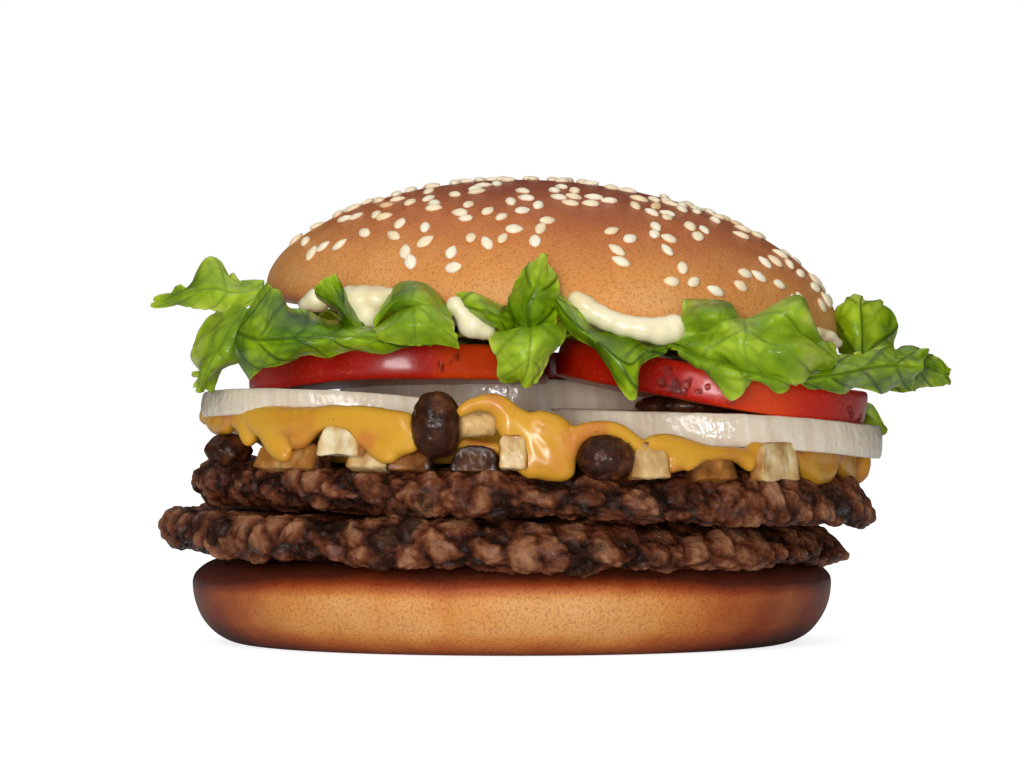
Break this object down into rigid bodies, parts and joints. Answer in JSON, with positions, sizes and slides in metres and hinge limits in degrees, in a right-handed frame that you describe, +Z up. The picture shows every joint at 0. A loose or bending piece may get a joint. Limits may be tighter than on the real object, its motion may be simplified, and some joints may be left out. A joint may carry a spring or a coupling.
{
  "type": "double cheeseburger",
  "caption": "Double cheeseburger with two beef patties, cheese sauce, mushrooms, onion, tomato and lettuce in a sesame bun, resting flat for meal and table scenes.",
  "frame": {"origin": "centre of the flat underside of the bottom bun", "axes": "+X to the right of the shown front, +Y away from the viewer towards the back, +Z up through the bun"},
  "size_m": [0.1483, 0.1306, 0.0875],
  "materials": {
    "bun": "baked crust, brown and slightly glossy on the crown, golden and soft on the sides, cream sesame seeds",
    "beef": "grilled minced beef, dark and craggy with small wet glints",
    "cheese": "melted cheese sauce, glossy yellow orange with fine dark specks",
    "mushroom": "fried mushroom cap, brown, wrinkled and glossy",
    "mushroom_cut": "cut face of fried mushroom, cream to golden",
    "onion": "raw white onion, wet and translucent with fine streaks",
    "tomato": "fresh tomato, smooth red skin with small drops",
    "lettuce": "fresh leaf, bright green with pale rims and veins",
    "mayonnaise": "smooth glossy cream"
  },
  "bodies": {
    "root": {"bun_bottom": "bun", "bun_top": "bun", "cheese_sauce": "cheese", "leaf_arch": "lettuce", "leaf_arch_low": "lettuce", "leaf_fan": "lettuce", "leaf_far_left": "lettuce", "leaf_far_right": "lettuce", "leaf_flap_centre": "lettuce", "leaf_flap_pointed": "lettuce", "leaf_flap_right": "lettuce", "leaf_left_back": "lettuce", "leaf_left_fold": "lettuce", "leaf_left_low": "lettuce", "leaf_peak": "lettuce", "leaf_rear_1": "lettuce", "leaf_rear_2": "lettuce", "leaf_rear_3": "lettuce", "leaf_rear_4": "lettuce", "leaf_rear_5": "lettuce", "leaf_rear_6": "lettuce", "leaf_rear_7": "lettuce", "leaf_rear_8": "lettuce", "leaf_right_back": "lettuce", "leaf_right_blade": "lettuce", "leaf_small_dark": "lettuce", "leaf_small_low": "lettuce", "leaf_upright_left": "lettuce", "lettuce_bed": "lettuce", "mayonnaise": "mayonnaise", "mushroom_button": "mushroom", "mushroom_cap_back_left": "mushroom", "mushroom_cap_back_right": "mushroom", "mushroom_cap_front": "mushroom", "mushroom_cap_inside": "mushroom", "mushroom_cap_left": "mushroom", "mushroom_slice_back_1": "mushroom_cut", "mushroom_slice_back_2": "mushroom_cut", "mushroom_slice_back_3": "mushroom_cut", "mushroom_slice_back_4": "mushroom_cut", "mushroom_slice_beside": "mushroom_cut", "mushroom_slice_brown": "mushroom_cut", "mushroom_slice_far_left": "mushroom_cut", "mushroom_slice_golden": "mushroom_cut", "mushroom_slice_left": "mushroom_cut", "mushroom_slice_low": "mushroom_cut", "mushroom_slice_pale": "mushroom_cut", "mushroom_slice_right": "mushroom_cut", "mushroom_slice_under": "mushroom_cut", "onion_back": "onion", "onion_left": "onion", "onion_right": "onion", "patty_lower": "beef", "patty_upper": "beef", "tomato_back": "tomato", "tomato_left": "tomato", "tomato_right": "tomato"}
  },
  "joints": []
}
